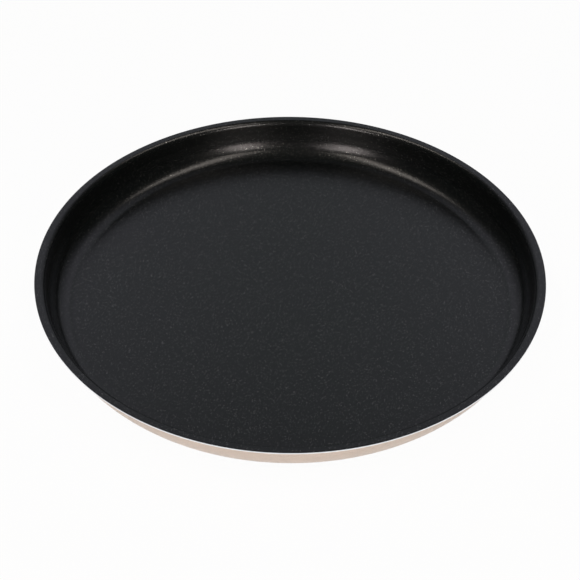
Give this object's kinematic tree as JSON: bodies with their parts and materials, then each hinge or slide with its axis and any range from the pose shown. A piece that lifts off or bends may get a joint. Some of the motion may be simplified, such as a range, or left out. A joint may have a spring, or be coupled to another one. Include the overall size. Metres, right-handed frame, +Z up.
{
  "type": "round cake pan",
  "caption": "Shallow round baking pan of pressed sheet with a nearly upright wall, a wide inside corner and a flat lip; dark non-stick inside, pale lacquer outside.",
  "frame": {"origin": "on the surface that the pan stands on, on the pan's axis", "axes": "+Z up along the pan's axis, out of its mouth; X and Y are alike, because the pan is round"},
  "size_m": [0.3, 0.3, 0.0242],
  "materials": {
    "bare_aluminium": "bare sheared edge, bright satin",
    "nonstick_black": "satin non-stick coating, charcoal black with a fine light speckle",
    "cream_lacquer": "satin champagne cream lacquer with a fine grain"
  },
  "bodies": {
    "root": {"pan_shell": "bare_aluminium", "nonstick_lining": "nonstick_black", "exterior_lacquer": "cream_lacquer"}
  },
  "joints": []
}
